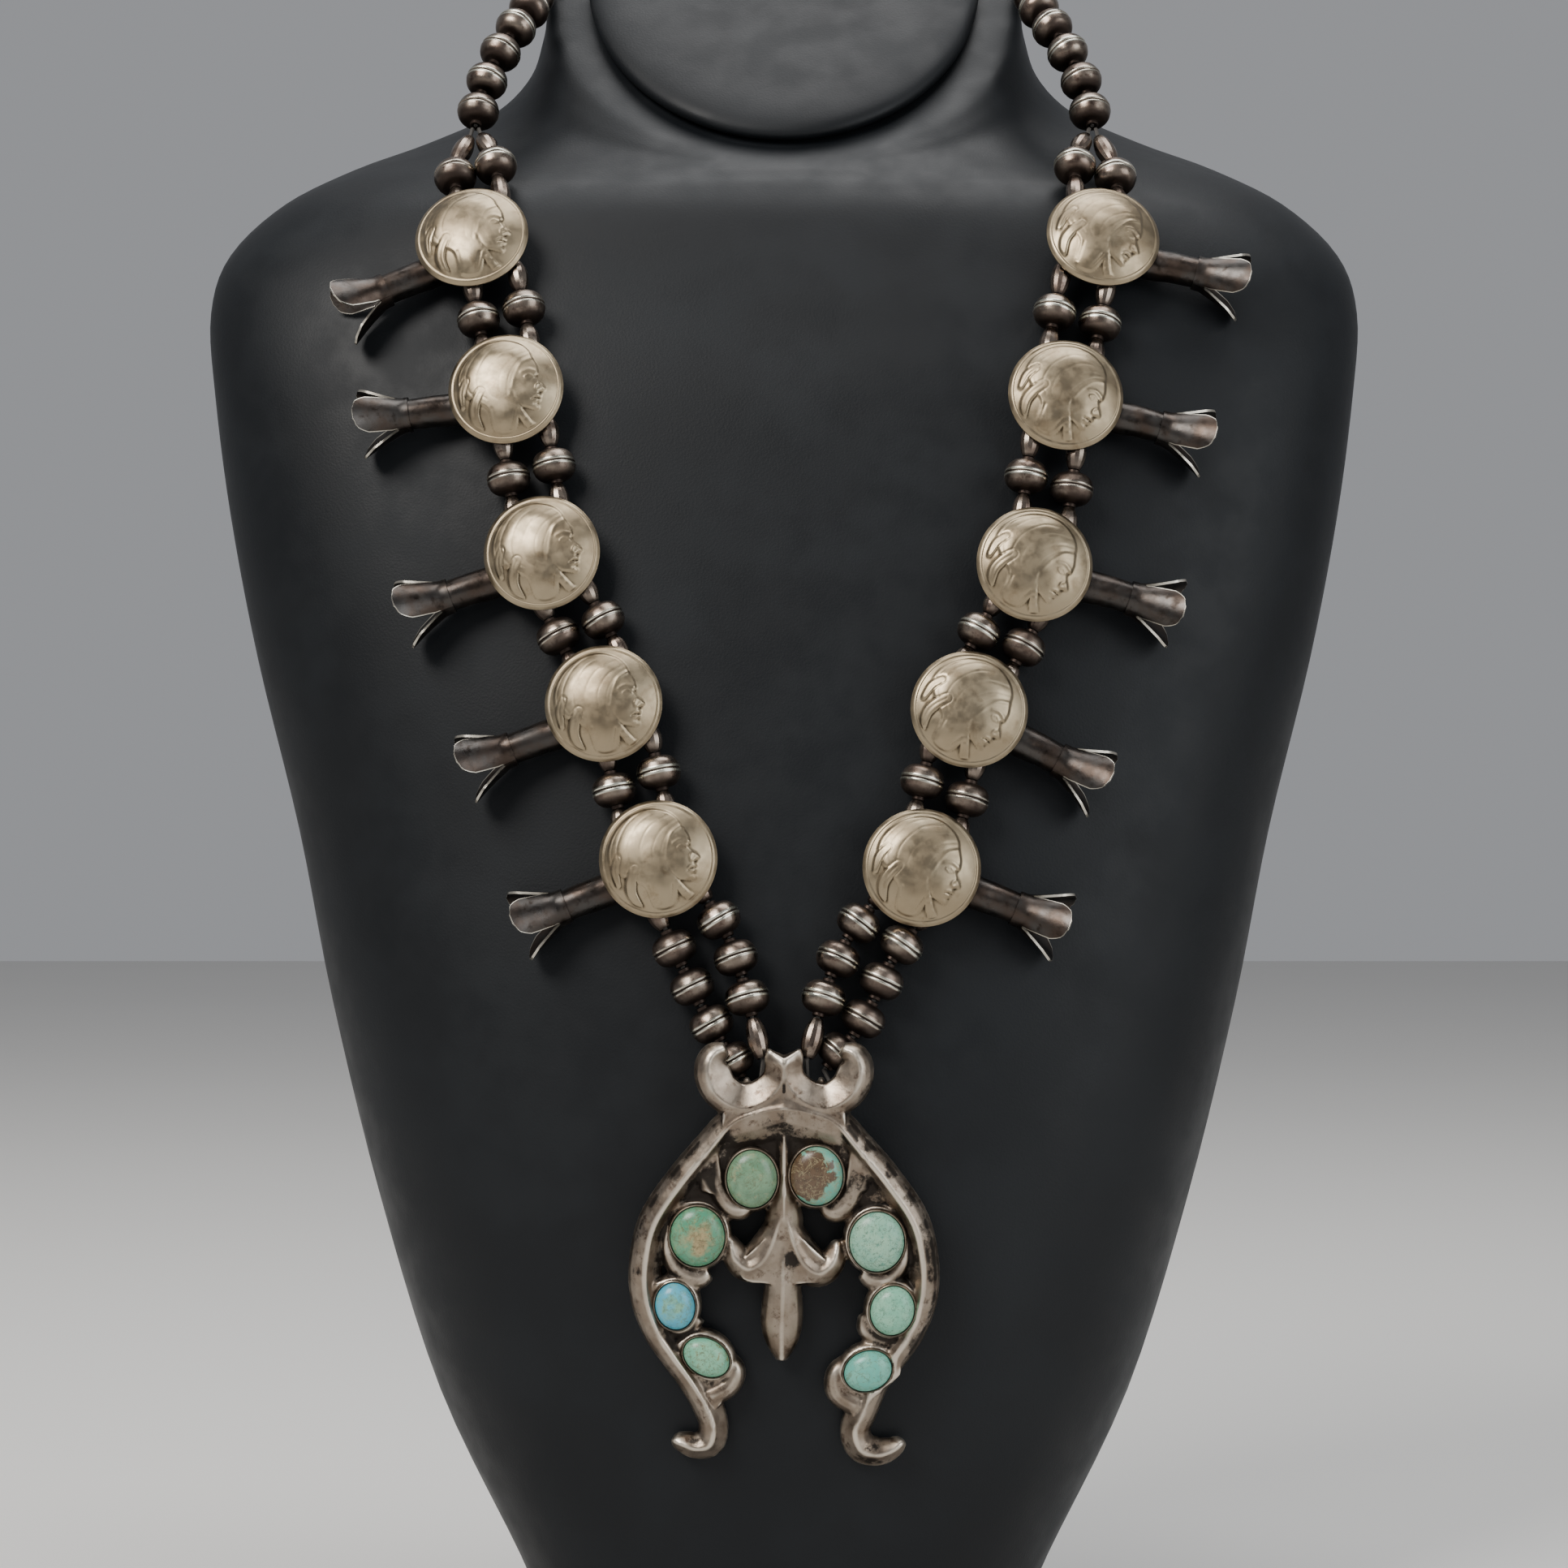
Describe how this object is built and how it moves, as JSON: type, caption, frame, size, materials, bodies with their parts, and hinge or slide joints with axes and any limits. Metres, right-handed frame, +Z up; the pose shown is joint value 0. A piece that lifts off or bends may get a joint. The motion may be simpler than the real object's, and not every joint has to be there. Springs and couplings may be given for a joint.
{
  "type": "squash blossom necklace on a neck bust",
  "caption": "Strung silver bead necklace with domed-coin blossoms and a stone-set crescent pendant, on a plain padded neck bust.",
  "frame": {"origin": "middle of the foot of the bust, on its flat underside", "axes": "+Z up, -Y out of the bust's chest towards the viewer, +X to the viewer's right"},
  "size_m": [0.2166, 0.1351, 0.3517],
  "materials": {
    "leather": "black, fine grain, soft sheen",
    "cast_silver": "worn cast silver, dark in its hollows",
    "coin_silver": "worn, satin, with dark stems",
    "bead_silver": "satin, dark brown tarnish round the collars",
    "thread": "waxed, dull",
    "left_stone_1": "polished, with fine matrix",
    "left_stone_2": "polished, with fine matrix",
    "left_stone_3": "polished, with fine matrix",
    "left_stone_4": "polished, with fine matrix",
    "right_stone_1": "polished, with fine matrix",
    "right_stone_2": "polished, with fine matrix",
    "right_stone_3": "polished, with fine matrix",
    "right_stone_4": "polished, with fine matrix"
  },
  "bodies": {
    "root": {"neck_bust": "leather", "neck_cap": "leather", "naja": "cast_silver", "left_stone_1": "left_stone_1", "left_stone_2": "left_stone_2", "left_stone_3": "left_stone_3", "left_stone_4": "left_stone_4", "right_stone_1": "right_stone_1", "right_stone_2": "right_stone_2", "right_stone_3": "right_stone_3", "right_stone_4": "right_stone_4", "left_blossom_1": "coin_silver", "left_blossom_2": "coin_silver", "left_blossom_3": "coin_silver", "left_blossom_4": "coin_silver", "left_blossom_5": "coin_silver", "right_blossom_1": "coin_silver", "right_blossom_2": "coin_silver", "right_blossom_3": "coin_silver", "right_blossom_4": "coin_silver", "right_blossom_5": "coin_silver", "left_outer_beads": "bead_silver", "left_inner_beads": "bead_silver", "left_neck_beads": "bead_silver", "right_outer_beads": "bead_silver", "right_inner_beads": "bead_silver", "right_neck_beads": "bead_silver", "left_strand_thread": "thread", "left_neck_thread": "thread", "right_strand_thread": "thread", "right_neck_thread": "thread", "clasp": "bead_silver"}
  },
  "joints": []
}
